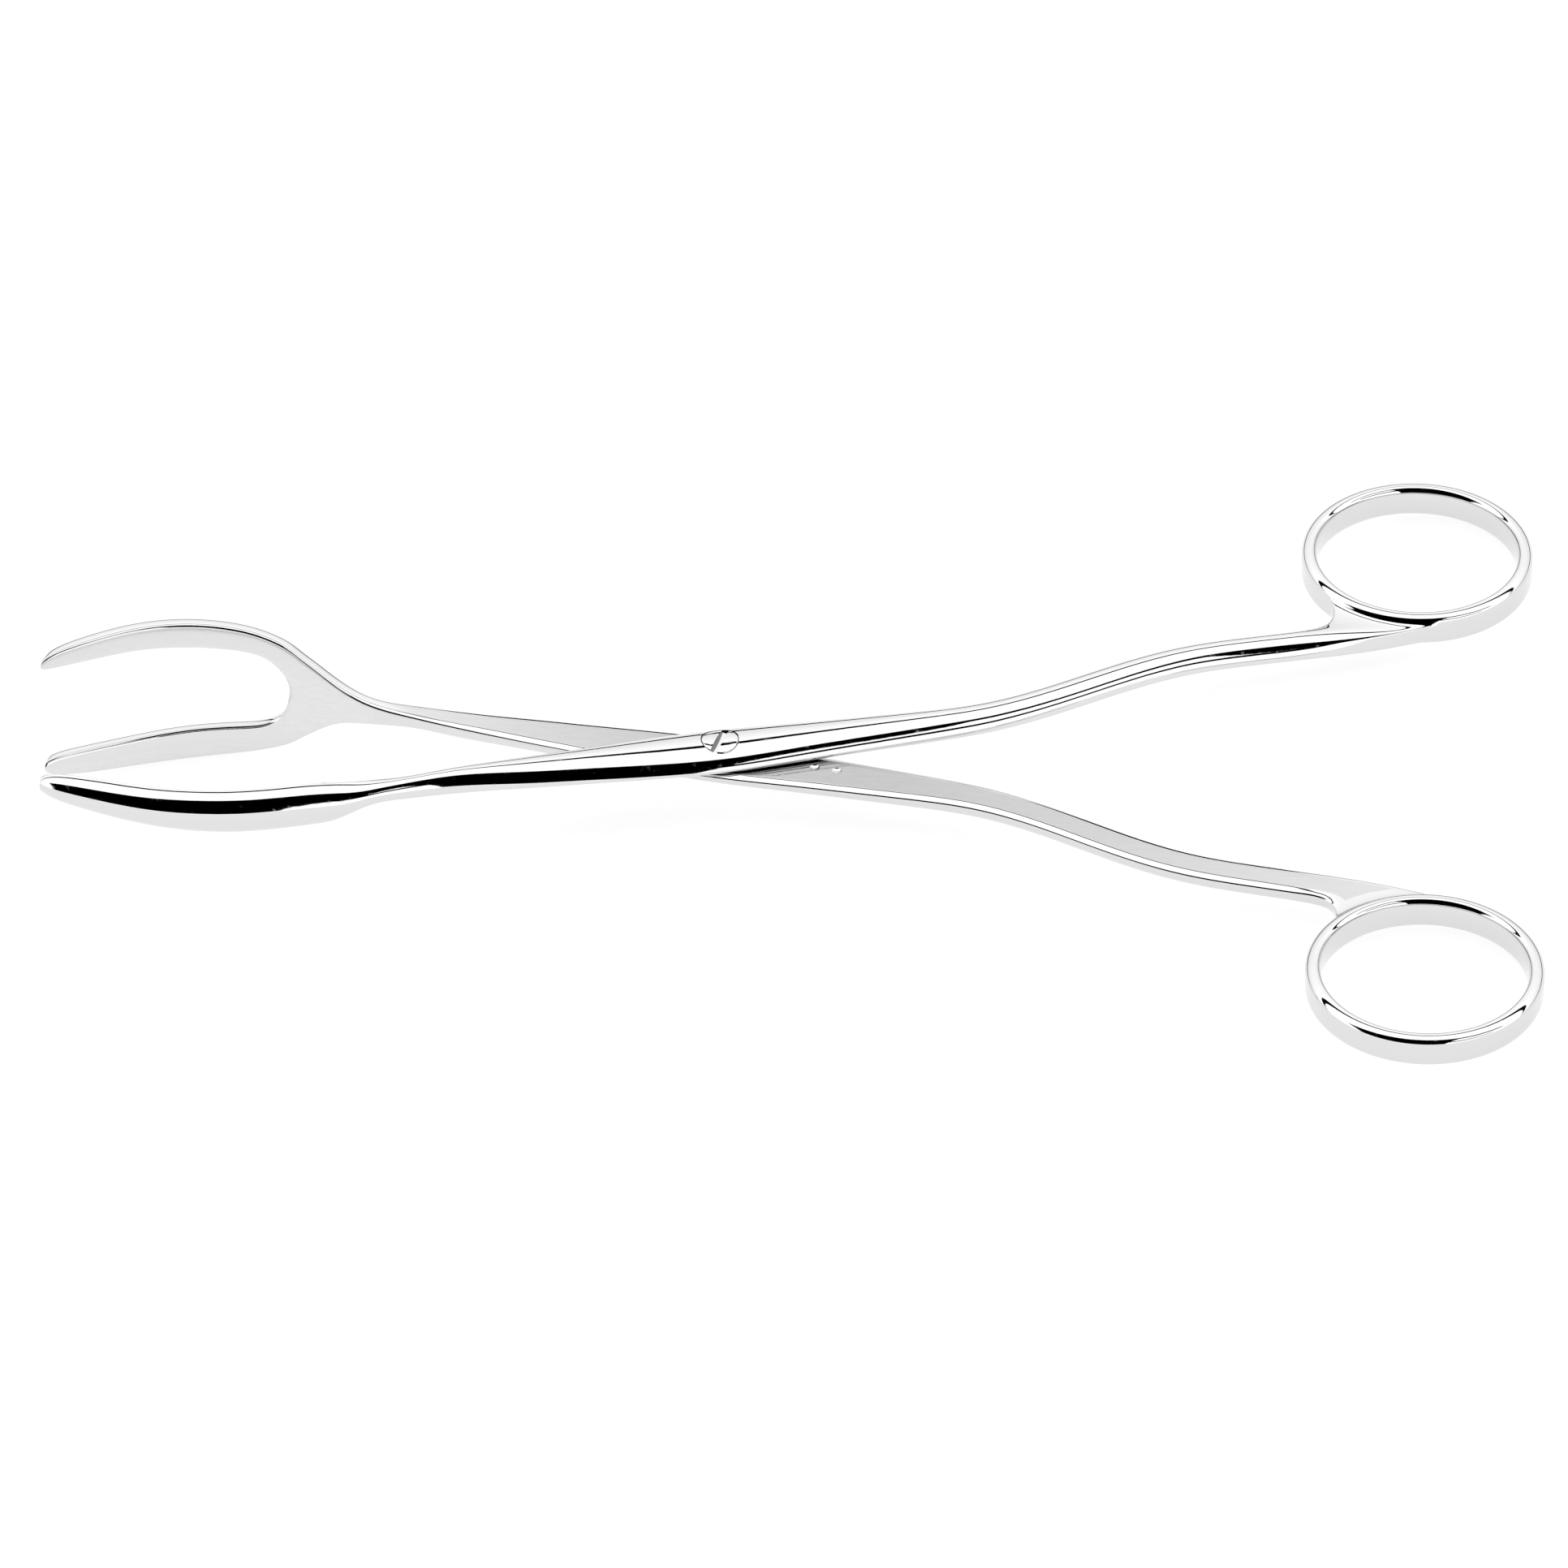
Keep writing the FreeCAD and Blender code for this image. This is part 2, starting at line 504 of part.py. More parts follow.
def lie_on_table(upper, lower):
    """Turn that lays the open instrument on its three supports: one tine's edge and both rings."""
    tube = value("Dim.ring_wall / 2")
    drop = value("(Dim.ring_height - Dim.ring_wall) / 2")
    ring = Vector(value("Dim.ring_reach"), value(RING_SIDE), value("Dim.arm_thickness / 2"))
    centres = [placed.multVec(ring) - Vector(0, 0, drop) for placed in (upper, lower)]
    turn = math.asin((value("Dim.fork_crown") - value("Dim.bow_start")) / value("Dim.bow_radius"))
    bowed = value("Dim.fork_face") + value("Dim.bow_radius") * (1 - math.cos(turn))
    tine = lower.multVec(Vector(-value("Dim.fork_crown"), bowed, value("Dim.fork_half")))
    up = Vector(0, 0, 1)
    for _ in range(8):
        downhill = Vector(-up.x, -up.y, 0)
        if downhill.Length > 0:
            downhill = downhill.normalize() * value(RING_MEAN)
        rings = [centre + downhill - up * tube for centre in centres]
        up = (rings[0] - tine).cross(rings[1] - tine).normalize()
        up = up if up.z > 0 else up * -1
    return Placement(Vector(), Rotation(up, Vector(0, 0, 1)))


parts = {body.Label: body for body in (make_prong_arm(), make_fork_arm(), make_pivot_screw())}
doc.recompute()

lift = Placement(Vector(0, 0, value("Dim.lap_play / 2")), Rotation())
swing = Placement(Vector(), Rotation(Vector(0, 0, 1), value("Dim.swing")))
over = Placement(Vector(), Rotation(Vector(1, 0, 0), 180))
places = {
    "prong_arm": swing * lift,
    "fork_arm": over * swing * lift,
    "pivot_screw": Placement(Vector(), Rotation(Vector(0, 0, 1), value("Dim.slot_turn"))),
}
tilt = lie_on_table(places["prong_arm"], places["fork_arm"])
for label, body in parts.items():
    body.Placement = tilt * places[label]
doc.recompute()
box = Part.makeCompound([body.Shape for body in parts.values()]).optimalBoundingBox(False)
stand = Placement(Vector(-box.Center.x, -box.Center.y, -box.ZMin), Rotation())
for label, body in parts.items():
    body.Placement = stand * tilt * places[label]
doc.recompute()

for item in doc.Objects:
    if "Invalid" in item.State or "Error" in item.State:
        raise RuntimeError(f"{item.Name} failed: {item.State}")
os.makedirs("parts", exist_ok=True)
for label, body in parts.items():
    if body.Shape.isNull() or not body.Shape.isValid() or len(body.Shape.Solids) != 1:
        raise RuntimeError(f"{label} is not one valid solid")
    body.Shape.exportStep(f"parts/{label}.step")
    print(label, "volume", round(body.Shape.Volume, 1))
hinge = stand * tilt
print("joint at", hinge.Base, "axis", hinge.Rotation.multVec(Vector(0, 0, 1)))
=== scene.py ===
import json
from math import acos, asin, atan, atan2, cos, degrees, pi, radians, sin, sqrt, tan

import bmesh
import bpy
from mathutils import Matrix, Vector


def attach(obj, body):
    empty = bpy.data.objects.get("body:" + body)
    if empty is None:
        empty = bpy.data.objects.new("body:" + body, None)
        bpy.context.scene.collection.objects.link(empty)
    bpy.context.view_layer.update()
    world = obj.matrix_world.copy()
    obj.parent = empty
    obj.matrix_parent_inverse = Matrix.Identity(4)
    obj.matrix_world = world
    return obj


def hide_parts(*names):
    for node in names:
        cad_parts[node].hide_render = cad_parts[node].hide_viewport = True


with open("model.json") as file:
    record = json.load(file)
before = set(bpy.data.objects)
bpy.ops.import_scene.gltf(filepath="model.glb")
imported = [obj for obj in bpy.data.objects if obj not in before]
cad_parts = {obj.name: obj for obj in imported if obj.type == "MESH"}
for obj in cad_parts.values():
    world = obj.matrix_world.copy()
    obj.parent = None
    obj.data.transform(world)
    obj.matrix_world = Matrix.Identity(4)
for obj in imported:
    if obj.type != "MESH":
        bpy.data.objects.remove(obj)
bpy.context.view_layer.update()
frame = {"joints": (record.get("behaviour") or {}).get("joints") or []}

# Each half is modelled as it is forged: mating face down on z = 0, joint at the origin, ring towards +X
# and jaw towards -X. Sizes are in millimetres there, and become metres when the half is put in its place.
MM = 0.001
HINGE = frame["joints"][0]
MATING_PLANE = (Matrix.Translation(Vector(HINGE["pos_m"]))
                @ Vector((0, 0, 1)).rotation_difference(Vector(HINGE["axis"])).to_matrix().to_4x4())
SWING = Matrix.Rotation(radians(12), 4, "Z")
HALF_GAP = 0.03
LAP_GAP = Matrix.Translation((0, 0, HALF_GAP * MM))
UPPER_HALF = MATING_PLANE @ SWING @ LAP_GAP
LOWER_HALF = MATING_PLANE @ Matrix.Rotation(pi, 4, "X") @ SWING @ LAP_GAP

# Sections of the forging: a flat with soft edges and a half-round back over it
THICKNESS = 3.0
SIDE_STEPS = 6                      # each of the four sides of a section has this many steps
FLANK_TURN = 50                     # the sides go so far round the section, in degrees, to the crest
GROUND_INSET = 1.0                  # the ground mating face is this much narrower on each side than the arm
EDGE_INSET, EDGE_RISE = 0.28, 0.21  # where the soft edge beside it turns up into the side
FULL_EDGE = 2.4                     # arms narrower than this to each side have a smaller soft edge
WELD = 0.02                         # corners closer than this become one

# Lines along the forging that are sharpened, by their codes, and how far they go
NEAR_EDGE, GROUND_EDGES, GRIP_EDGES = 0, (10, 50), (60, 66)
ARM_REACH = (-40, 84)
PRONG_REACH = (-91, -52)
FLAT_END, FLAT_TOP = -50, 0.3       # the ground flat goes from here to the ring and is no higher than this
PRONG_GRIP_END, FORK_GRIP_END = -50, -46

# Handle, from the place where the web begins to the waist. Half widths, one for every step towards the waist.
HANDLE_END, HANDLE_STEP = 80, 5
HANDLE_WIDTHS = (2.4, 2.4, 2.4, 2.4, 2.4, 2.4, 2.4, 2.45, 2.56, 2.7, 2.95, 3.2, 3.45, 3.75, 4.1, 4.3,
                 4.2, 3.9, 3.5, 3.12, 2.8, 2.35, 1.95)
BEND_START, BEND_LENGTH, BEND_SIDE = 31, 39, 8.1
WAIST_HALF, WAIST_THICKNESS, WAIST_SHIFT = 1.5, 2.7, -0.36

# Finger rings
RING_CENTRE = Vector((100.0, 22.7, 1.5))
RING_OUTER, RING_BORE, RING_HEIGHT = 15.7, 13.5, 4.7
# Over the ring's wall: radius, and rise above the ring's middle.
RING_ROUND = ((15.6, 1.72), (15.2, 2.15), (14.5, RING_HEIGHT / 2), (13.95, 2.22), (13.62, 1.6),
              (RING_BORE, 0.85))
RING_STEPS = 40
WEB_TURNS = (266, 212)              # where the shank's near and far sides run into the ring
WEB_LEVELS = (0.1, 2.7)
# The web's sections: where their near and far ends are, and their share of the way from shank to ring.
WEB_STATIONS = (((85.2, 5.75), (82.2, 10.5), 0.12), ((90.0, 5.95), (84.5, 10.8), 0.4),
                ((94.6, 6.4), (85.8, 12.1), 0.75))

# Screw
HEAD_RADIUS, SEAT_RADIUS, STEM_RADIUS, THREAD_RADIUS = 2.45, 2.58, 1.75, 1.5
SEAT_LEVEL, SCREW_END = 1.45, -2.93
SEAT_PLAY, STEM_PLAY = 0.05, 0.05
# The head's top, from its rim inwards: radius, and how far it lies under the back of the arm.
HEAD_RINGS = ((HEAD_RADIUS, 0.14), (HEAD_RADIUS - 0.06, 0.04), (HEAD_RADIUS - 0.18, 0),
              (1.7, 0), (1.1, 0), (0.5, 0))
SLOT_FLOOR, SLOT_WIDTH, SLOT_TURN = 2.2, 0.95, 60
SLOT_LENGTH, SLOT_HEIGHT = 7, 2     # past the head's edge and over its top
BELOW, ABOVE = -1, 5                # heights outside a half, where cutters start and end

# Match marks, punched with a ball that stands mostly outside the flat
MARK_REACHES, MARK_SIDE = (12.8, 15.8), -0.6
MARK_RADIUS, MARK_LEVEL = 0.92, -0.62

# Jaws: the faces run straight to the bow's start, and each is turned so many degrees at its end
BOW_START, BOW_RADIUS = 60.0, 38.0
PRONG_FACE, PRONG_TURN = 0.3, 29
FORK_FACE, FORK_TURN = 0.8, 33
# From waist to prong: distance from the joint, share of the prong's shape, half width, lift and thickness.
PRONG_ROOT = ((42.5, 0.15, 1.35, 1.35, 2.6), (45.5, 0.45, 1.5, 1.3, 2.6), (48, 0.75, 1.9, 0.85, 2.7),
              (50, 0.92, 2.5, 0.35, 2.8))
# Along the prong: distance from the joint, half width and thickness.
PRONG_STATIONS = ((52.3, 3.0, 2.85), (55, 3.15, 2.85), (58, 3.2, 2.85), (61, 3.22, 2.85), (64, 3.22, 2.85),
                  (67, 3.2, 2.83), (70, 3.15, 2.8), (73, 3.05, 2.78), (76, 2.92, 2.76), (79, 2.76, 2.7),
                  (82, 2.58, 2.58), (84.5, 2.34, 2.36), (86.6, 2.08, 2.12), (88.2, 1.72, 1.72),
                  (89.3, 1.2, 1.15))
# From waist to fork: distance from the joint, and share of the fork's shape. Then the neck's other distances.
FORK_ROOT = ((42.5, 0.15), (45, 0.5), (47.5, 0.85))
NECK_STATIONS = (49.5, 51.5, 53.5, 55.5, 57.4)
NECK_END = 57                       # from here the neck is as wide as the fork's outline
LOW_FLARE, HIGH_FLARE = (49.7, 3), (52.8, 2)    # where each edge of the neck turns outwards, and how softly
# Across the fork's thickness: depth behind the gripping face, and how far the edge is rounded away.
EDGE_PROFILE = ((2.3, 0.85), (2.06, 0.36), (1.62, 0.08), (1.12, 0.0), (0.75, 0.0), (0.33, 0.02), (0.0, 0.22))
# Where the fork divides: places across it and their distances from the joint, none on the gap's bottom.
DIVIDE = ((-8.2, 59.1), (-5.6, 60.3), (-3.0, None), (0.0, None), (3.0, None), (5.6, 60.3), (8.2, 59.1))
# Along the tines: distance from the joint outside and inside, and how much the tip narrows there.
TINE_STATIONS = ((61.5, 61.3, 0), (64, 63.3, 0), (66.7, 66.2, 0), (70, 70, 0), (73.4, 73.4, 0),
                 (76.6, 76.6, 0), (79.7, 79.7, 0), (82.7, 82.7, 0), (85.4, 85.4, 0), (87.6, 87.7, 0.05),
                 (89.1, 89.2, 0.3), (89.9, 89.95, 0.85))
TINE_UPRIGHT = (78.0, 88.0)         # between these the tines' sections turn upright, as their ends are
CROWN_REACH, CROWN_HALF, CROWN_RADIUS = 77, 11.5, 60
CROWN_TURN, FLARE_TURN, SHOULDER_RADIUS = radians(12), radians(41), 16.4
GAP_BASE, GAP_RADIUS, GAP_END, GAP_HALF = 59.0, 6.0, 79.0, 7.2


class Socket:
    """A value in a node tree that can be reckoned with."""

    def __init__(self, tree, output):
        self.tree, self.output = tree, output

    def math(self, operation, *others):
        node = self.tree.nodes.new("ShaderNodeMath")
        node.operation = operation
        for place, value in zip(node.inputs, (self,) + others):
            if isinstance(value, Socket):
                self.tree.links.new(value.output, place)
            else:
                place.default_value = value
        return Socket(self.tree, node.outputs[0])

    def __add__(self, other):
        return self.math("ADD", other)

    def __sub__(self, other):
        return self.math("SUBTRACT", other)

    def __mul__(self, other):
        return self.math("MULTIPLY", other)

    def __truediv__(self, other):
        return self.math("DIVIDE", other)

    def degrees(self):
        return self.math("DEGREES")

    def either(self, other):
        return self.math("MAXIMUM", other)

    def within(self, low, high, soft):
        """1 between two values and 0 beyond them, fading over a width."""
        middle, half = (low + high) / 2, (high - low) / 2
        share = ((self - middle).math("ABSOLUTE") - half) / -soft + 0.5
        return share.math("MAXIMUM", 0.0).math("MINIMUM", 1.0)

    def between(self, start, end):
        """Rises from 0 to 1 between two values."""
        return ((self - start) / (end - start)).math("MAXIMUM", 0.0).math("MINIMUM", 1.0)

    def into(self, place):
        self.tree.links.new(self.output, place)


def coordinates(tree, kind):
    """The three parts of a texture coordinate."""
    source = tree.nodes.new("ShaderNodeTexCoord")
    split = tree.nodes.new("ShaderNodeSeparateXYZ")
    tree.links.new(source.outputs[kind], split.inputs[0])
    return [Socket(tree, output) for output in split.outputs]


def noise(tree, places, scale, detail=2.0):
    """Cloudy value about 0.5, finer along the directions whose coordinate was multiplied."""
    joined = tree.nodes.new("ShaderNodeCombineXYZ")
    for place, slot in zip(places, joined.inputs):
        place.into(slot)
    node = tree.nodes.new("ShaderNodeTexNoise")
    node.inputs["Scale"].default_value = scale
    node.inputs["Detail"].default_value = detail
    tree.links.new(joined.outputs[0], node.inputs["Vector"])
    return Socket(tree, node.outputs[0])


def metal(name):
    """New bare metal: the material, its node tree and its shader."""
    material = bpy.data.materials.new(name)
    material.use_nodes = True
    shader = material.node_tree.nodes["Principled BSDF"]
    shader.inputs["Metallic"].default_value = 1
    return material, material.node_tree, shader


def paint_grey(shader, shade):
    shader.inputs["Base Color"].default_value = (shade, shade, shade, 1)


def bump(tree, shader, height, depth):
    """Relief of a depth in millimetres."""
    node = tree.nodes.new("ShaderNodeBump")
    node.inputs["Distance"].default_value = depth * MM
    height.into(node.inputs["Height"])
    tree.links.new(node.outputs[0], shader.inputs["Normal"])


def make_mirror_steel():
    """Polished forging: a mirror, slightly wavy as hand polishing leaves it, with a few dull specks."""
    material, tree, shader = metal("mirror_steel")
    paint_grey(shader, 0.72)
    places = coordinates(tree, "Object")
    specks = noise(tree, places, 900, 3).between(0.62, 0.72)
    (specks * 0.12 + 0.04).into(shader.inputs["Roughness"])
    bump(tree, shader, noise(tree, places, 260), 0.012)
    return material


def make_satin_steel():
    """Ground flat: fine lines along the arm, duller than the polished back, rubbed glossy round the joint.
    Its grey carries painted light and shade.
    """
    material, tree, shader = metal("satin_steel")
    x, y, z = coordinates(tree, "Object")
    hinge = Vector(HINGE["pos_m"])
    far = (((x - hinge.x) * (x - hinge.x) + (y - hinge.y) * (y - hinge.y)).math("SQRT")).between(0.012, 0.024)
    grain = noise(tree, (x * 0.15, y, z), 2600, 3)
    (far * 0.17 + grain * 0.06 + 0.03).into(shader.inputs["Roughness"])
    # Painted light and shade: the grey is lighter along the arms, away from the joint, and darker round the
    # joint.
    painted_light_along_arms = x.between(0.01, 0.085).either(x.between(-0.012, -0.05))
    # Painted light: the jaws' gripping faces get a lighter grey still; only the grain's share is the flat's
    # own tone.
    shade = painted_light_along_arms * 0.18 + x.between(-0.05, -0.054) * 0.1 + grain * 0.08 + 0.42
    shade.into(shader.inputs["Base Color"])
    bump(tree, shader, grain, 0.003)
    return material


def make_painted_slot_shade():
    """Walls of the screw's slot: dull, and painted nearly black as painted shade in the slot."""
    material, _, shader = metal("painted_slot_shade")
    # Painted shade: a grey far darker than bare steel.
    paint_grey(shader, 0.16)
    shader.inputs["Roughness"].default_value = 0.35
    return material


mirror_steel = make_mirror_steel()
satin_steel = make_satin_steel()
painted_slot_shade = make_painted_slot_shade()


def section_codes():
    """Places round a section, in order: across the flat, up the far side, over the crest, down the near."""
    last = SIDE_STEPS
    return ([(step, 0) for step in range(last)] + [(last, step) for step in range(last)]
            + [(last - step, last) for step in range(last)] + [(0, last - step) for step in range(last)])


def d_place(across, level, half, thickness):
    """Place on the forged section, sideways and upwards: a flat with soft edges under a half-round back."""
    if level == 0:
        soft = min(half / FULL_EDGE, 1)
        if across in (0, SIDE_STEPS):
            return (half - EDGE_INSET * soft) * (1 if across else -1), EDGE_RISE * soft
        return (half - GROUND_INSET * soft) * (2 * across - SIDE_STEPS) / (SIDE_STEPS - 2), 0.0
    if across == SIDE_STEPS:
        turn = FLANK_TURN * level / SIDE_STEPS
    elif across == 0:
        turn = 180 - FLANK_TURN * level / SIDE_STEPS
    else:
        turn = 180 - FLANK_TURN - (180 - 2 * FLANK_TURN) * across / SIDE_STEPS
    return half * cos(radians(turn)), thickness * sin(radians(turn))


class Forging:
    """A half being modelled in edit mode. Every vertex keeps a code for its place on the section."""

    def __init__(self, name):
        bpy.ops.object.select_all(action="DESELECT")
        bpy.ops.mesh.primitive_circle_add(vertices=4 * SIDE_STEPS, radius=THICKNESS * MM)
        self.piece = bpy.context.object
        self.piece.name = name
        for material in (mirror_steel, satin_steel):
            self.piece.data.materials.append(material)
        bpy.ops.object.mode_set(mode="EDIT")
        mesh = bmesh.from_edit_mesh(self.piece.data)
        code = mesh.verts.layers.int.new("code")
        mesh.verts.ensure_lookup_table()
        for vertex, (across, level) in zip(mesh.verts, section_codes()):
            vertex[code] = 10 * across + level

    def place(self, where):
        """Puts the selected vertices where the function says for their codes."""
        mesh = bmesh.from_edit_mesh(self.piece.data)
        code = mesh.verts.layers.int["code"]
        for vertex in mesh.verts:
            if vertex.select:
                vertex.co = Vector(where(*divmod(vertex[code], 10))) * MM
        bmesh.update_edit_mesh(self.piece.data)

    def extrude(self, where):
        bpy.ops.mesh.extrude_region_move()
        self.place(where)

    def select(self, wanted):
        """Selects what the function of a vertex's place in millimetres and its code accepts."""
        bpy.ops.mesh.select_all(action="DESELECT")
        mesh = bmesh.from_edit_mesh(self.piece.data)
        code = mesh.verts.layers.int["code"]
        for vertex in mesh.verts:
            vertex.select = wanted(vertex.co / MM, *divmod(vertex[code], 10))
        mesh.select_flush(True)
        bmesh.update_edit_mesh(self.piece.data)

    def close_end(self, where):
        """Fills the selected loop with a grid and gives its inner vertices their codes and places. A layer
        keeps a face's part of the end: -1 and 1 for the two tines, 0 for the bottom of the gap."""
        mesh = bmesh.from_edit_mesh(self.piece.data)
        vertices, faces = len(mesh.verts), len(mesh.faces)
        bpy.ops.mesh.fill_grid(span=SIDE_STEPS)
        mesh = bmesh.from_edit_mesh(self.piece.data)
        code = mesh.verts.layers.int["code"]
        grid = [(across, level) for across in range(1, SIDE_STEPS) for level in range(1, SIDE_STEPS)]
        for vertex in list(mesh.verts)[vertices:]:
            across, level = min(grid, key=lambda pair: (Vector(where(*pair)) - vertex.co / MM).length)
            grid.remove((across, level))
            vertex[code] = 10 * across + level
            vertex.co = Vector(where(across, level)) * MM
        part = mesh.faces.layers.int.new("part")
        for face in list(mesh.faces)[faces:]:
            middle = sum(vertex[code] % 10 for vertex in face.verts) / 4
            face[part] = -1 if middle < 2 else 1 if middle > 4 else 0
        bmesh.update_edit_mesh(self.piece.data)

    def select_part(self, number):
        bpy.ops.mesh.select_all(action="DESELECT")
        mesh = bmesh.from_edit_mesh(self.piece.data)
        part = mesh.faces.layers.int["part"]
        for face in mesh.faces:
            face.select = face[part] == number
        bmesh.update_edit_mesh(self.piece.data)

    def crease(self, line, reach, amount):
        """Sharpens a line along the forging, named by its code, between two distances from the joint."""
        bpy.ops.mesh.select_all(action="DESELECT")
        mesh = bmesh.from_edit_mesh(self.piece.data)
        code = mesh.verts.layers.int["code"]
        start, end = reach
        for edge in mesh.edges:
            on_line = all(vertex[code] == line for vertex in edge.verts)
            edge.select = on_line and all(start <= vertex.co.x / MM <= end for vertex in edge.verts)
        bmesh.update_edit_mesh(self.piece.data)
        bpy.ops.transform.edge_crease(value=amount)

    def grind(self, wanted):
        """Gives the satin steel to the faces whose corners' places and codes the function accepts."""
        self.select(wanted)
        self.piece.active_material_index = 1
        bpy.ops.object.material_slot_assign()


def shank_centre(reach):
    """Centre line of the handle, with its S-bend, and the bend's slope there."""
    share = min(max((reach - BEND_START) / BEND_LENGTH, 0), 1)
    side = BEND_SIDE * (1 - cos(pi * share)) / 2
    return side, atan(BEND_SIDE * pi / (2 * BEND_LENGTH) * sin(pi * share))


def shank_section(reach, half, thickness=THICKNESS, shift=0.0):
    """Section of the handle at a distance from the joint, square to its centre line."""
    side, lean = shank_centre(reach)

    def where(across, level):
        out, up = d_place(across, level, half, thickness)
        return reach - out * sin(lean), side + shift + out * cos(lean), up
    return where


def ring_point(turn, radius, height):
    """Place on a circle round the ring's centre, at a height over the mating face."""
    along, across = radius * cos(radians(turn)), radius * sin(radians(turn))
    return Vector((RING_CENTRE.x + along, RING_CENTRE.y + across, height))


def web_section(near, far, share):
    """Slanting section of the web: from the shank's shape to the strip of the ring's wall that it ends on."""
    def where(across, level):
        out, up = d_place(across, level, 1, THICKNESS)
        square = 2 * across / SIDE_STEPS - 1
        height = WEB_LEVELS[0] + (WEB_LEVELS[1] - WEB_LEVELS[0]) * level / SIDE_STEPS
        out, up = out + (square - out) * share, up + (height - up) * share
        plan = Vector(near).lerp(Vector(far), (out + 1) / 2)
        ends = [ring_point(turn, RING_OUTER, 0).xy for turn in WEB_TURNS]
        turn = WEB_TURNS[0] + (WEB_TURNS[1] - WEB_TURNS[0]) * (out + 1) / 2
        bulge = ring_point(turn, RING_OUTER, 0).xy - ends[0].lerp(ends[1], (out + 1) / 2)
        plan += bulge * share ** 2
        return plan.x, plan.y, up
    return where


def ring_section():
    """Places round the ring's wall, as radius and height: the six steps outside are where the web joins."""
    low, high = WEB_LEVELS
    middle = RING_CENTRE.z
    wall = [(RING_OUTER, low + (high - low) * step / SIDE_STEPS) for step in range(SIDE_STEPS + 1)]
    over = [(radius, middle + rise) for radius, rise in RING_ROUND]
    under = [(radius, middle - rise) for radius, rise in reversed(RING_ROUND)]
    return wall + over + [(RING_BORE - 0.03, middle)] + under


def add_ring(forging):
    """Finger ring: its section spun about its centre, opened where the web comes in."""
    places = ring_section()
    bpy.ops.object.mode_set(mode="OBJECT")
    bpy.ops.object.select_all(action="DESELECT")
    bpy.ops.mesh.primitive_circle_add(vertices=len(places), radius=THICKNESS * MM)
    ring = bpy.context.object
    ring.data.materials.append(mirror_steel)
    bpy.ops.object.mode_set(mode="EDIT")
    mesh = bmesh.from_edit_mesh(ring.data)
    mesh.verts.ensure_lookup_table()
    for vertex, (radius, height) in zip(mesh.verts, places):
        vertex.co = ring_point(WEB_TURNS[1], radius, height) * MM
    bmesh.update_edit_mesh(ring.data)
    bpy.ops.mesh.spin(steps=RING_STEPS, angle=2 * pi, center=RING_CENTRE * MM, axis=(0, 0, 1))
    bpy.ops.mesh.select_all(action="SELECT")
    bpy.ops.mesh.remove_doubles(threshold=WELD * MM)
    bpy.ops.mesh.select_all(action="DESELECT")
    mesh = bmesh.from_edit_mesh(ring.data)
    for face in mesh.faces:
        centre = face.calc_center_median() / MM
        flat = (centre - RING_CENTRE).xy
        turn = degrees(atan2(flat.y, flat.x)) % 360
        on_wall = flat.length > RING_OUTER - 0.1 and WEB_LEVELS[0] < centre.z < WEB_LEVELS[1]
        face.select = on_wall and WEB_TURNS[1] < turn < WEB_TURNS[0]
    bmesh.update_edit_mesh(ring.data)
    bpy.ops.mesh.delete(type="FACE")
    bpy.ops.object.mode_set(mode="OBJECT")
    ring.select_set(True)
    forging.piece.select_set(True)
    bpy.context.view_layer.objects.active = forging.piece
    bpy.ops.object.join()
    bpy.ops.object.mode_set(mode="EDIT")
    bpy.ops.mesh.select_all(action="SELECT")
    bpy.ops.mesh.remove_doubles(threshold=WELD * MM)


def make_handle(name):
    """What both halves share: finger ring, web, shank with its S-bend, and lap. The waist stays selected."""
    half = Forging(name)
    half.place(shank_section(HANDLE_END, 2.42))
    for near, far, share in WEB_STATIONS:
        half.extrude(web_section(near, far, share))
    ends = [ring_point(turn, RING_OUTER, 0).xy for turn in WEB_TURNS]
    half.extrude(web_section(ends[0], ends[1], 1))
    add_ring(half)
    half.select(lambda place, across, level: abs(place.x - HANDLE_END) < WELD)
    for step, width in enumerate(HANDLE_WIDTHS, 1):
        half.extrude(shank_section(HANDLE_END - HANDLE_STEP * step, width))
    half.extrude(shank_section(-39, 1.66, 2.8, -0.15))
    return half


def waist_section(reach):
    """Section of the thin waist, at a distance from the joint towards the jaw."""
    return shank_section(-reach, WAIST_HALF, WAIST_THICKNESS, WAIST_SHIFT)


def prong_section(station, turn, half, thickness, lift=0.0):
    """Section of the prong: flat towards the fork, half round outside. The station is a place on its face."""
    def where(across, level):
        if across == SIDE_STEPS:
            depth, up = 0, half * (2 * level / SIDE_STEPS - 1)
        else:
            step = section_codes().index((across, level)) - 2 * SIDE_STEPS
            angle = radians(90 - 180 * (step % (4 * SIDE_STEPS)) / (3 * SIDE_STEPS))
            depth, up = thickness * cos(angle), half * sin(angle)
        along, side = depth * sin(radians(turn)), depth * cos(radians(turn))
        return station[0] - along, station[1] - side, up + lift
    return where


def mixed(first, second, share):
    """Section part of the way from one shape to another."""
    def where(across, level):
        return Vector(first(across, level)).lerp(Vector(second(across, level)), share)
    return where


def bowed(run, face, most):
    """Place on a jaw's face line after a run from the joint, and how far it has turned there."""
    if run <= BOW_START:
        return (-run, face), 0
    turn = min((run - BOW_START) / BOW_RADIUS, radians(most))
    along = run - BOW_START - BOW_RADIUS * turn
    return ((-BOW_START - BOW_RADIUS * sin(turn) - along * cos(turn),
             face + BOW_RADIUS * (1 - cos(turn)) + along * sin(turn)), degrees(turn))


def run_to(reach, most):
    """Run along the face line to a distance from the joint."""
    end = BOW_START + BOW_RADIUS * sin(radians(most))
    if reach <= BOW_START:
        return reach
    if reach <= end:
        return BOW_START + BOW_RADIUS * asin((reach - BOW_START) / BOW_RADIUS)
    return BOW_START + BOW_RADIUS * radians(most) + (reach - end) / cos(radians(most))


